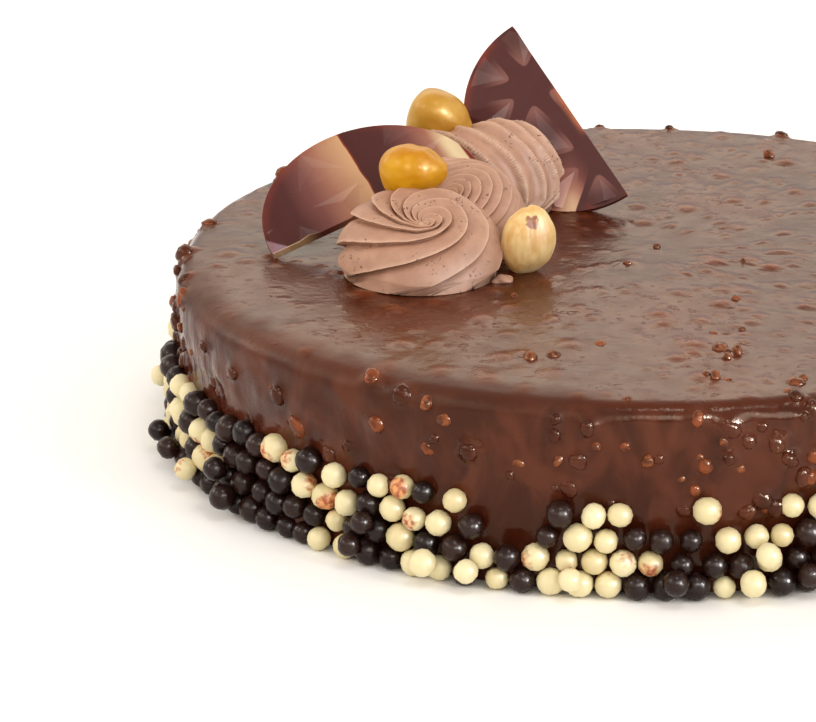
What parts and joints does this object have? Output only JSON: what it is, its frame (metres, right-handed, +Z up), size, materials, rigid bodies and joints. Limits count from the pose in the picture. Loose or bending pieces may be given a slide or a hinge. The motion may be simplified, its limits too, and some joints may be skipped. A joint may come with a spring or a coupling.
{
  "type": "hazelnut cake",
  "caption": "Round low cake in chocolate glaze with chopped nuts, a band of chocolate pearls round its foot, piped cream swirls, hazelnuts and half-disc chocolate plaques on top.",
  "frame": {"origin": "middle of the flat base, on the cake's own axis", "axes": "+Z up through the cake, -Y towards the front that the picture shows, +X to the right of it"},
  "size_m": [0.209, 0.2086, 0.0779],
  "materials": {
    "glaze": "glossy chocolate glaze",
    "cream": "matt piped chocolate cream",
    "caramel_nut": "glossy caramelised nut",
    "blanched_nut": "satin blanched nut",
    "plaque_chocolate": "satin marbled chocolate"
  },
  "bodies": {
    "root": {"cake": "glaze", "rosette_front": "cream", "rosette_middle": "cream", "rosette_back": "cream", "hazelnut_front": "caramel_nut", "hazelnut_back": "caramel_nut", "hazelnut_right": "blanched_nut", "plaque_left": "plaque_chocolate", "plaque_right": "plaque_chocolate"}
  },
  "joints": []
}
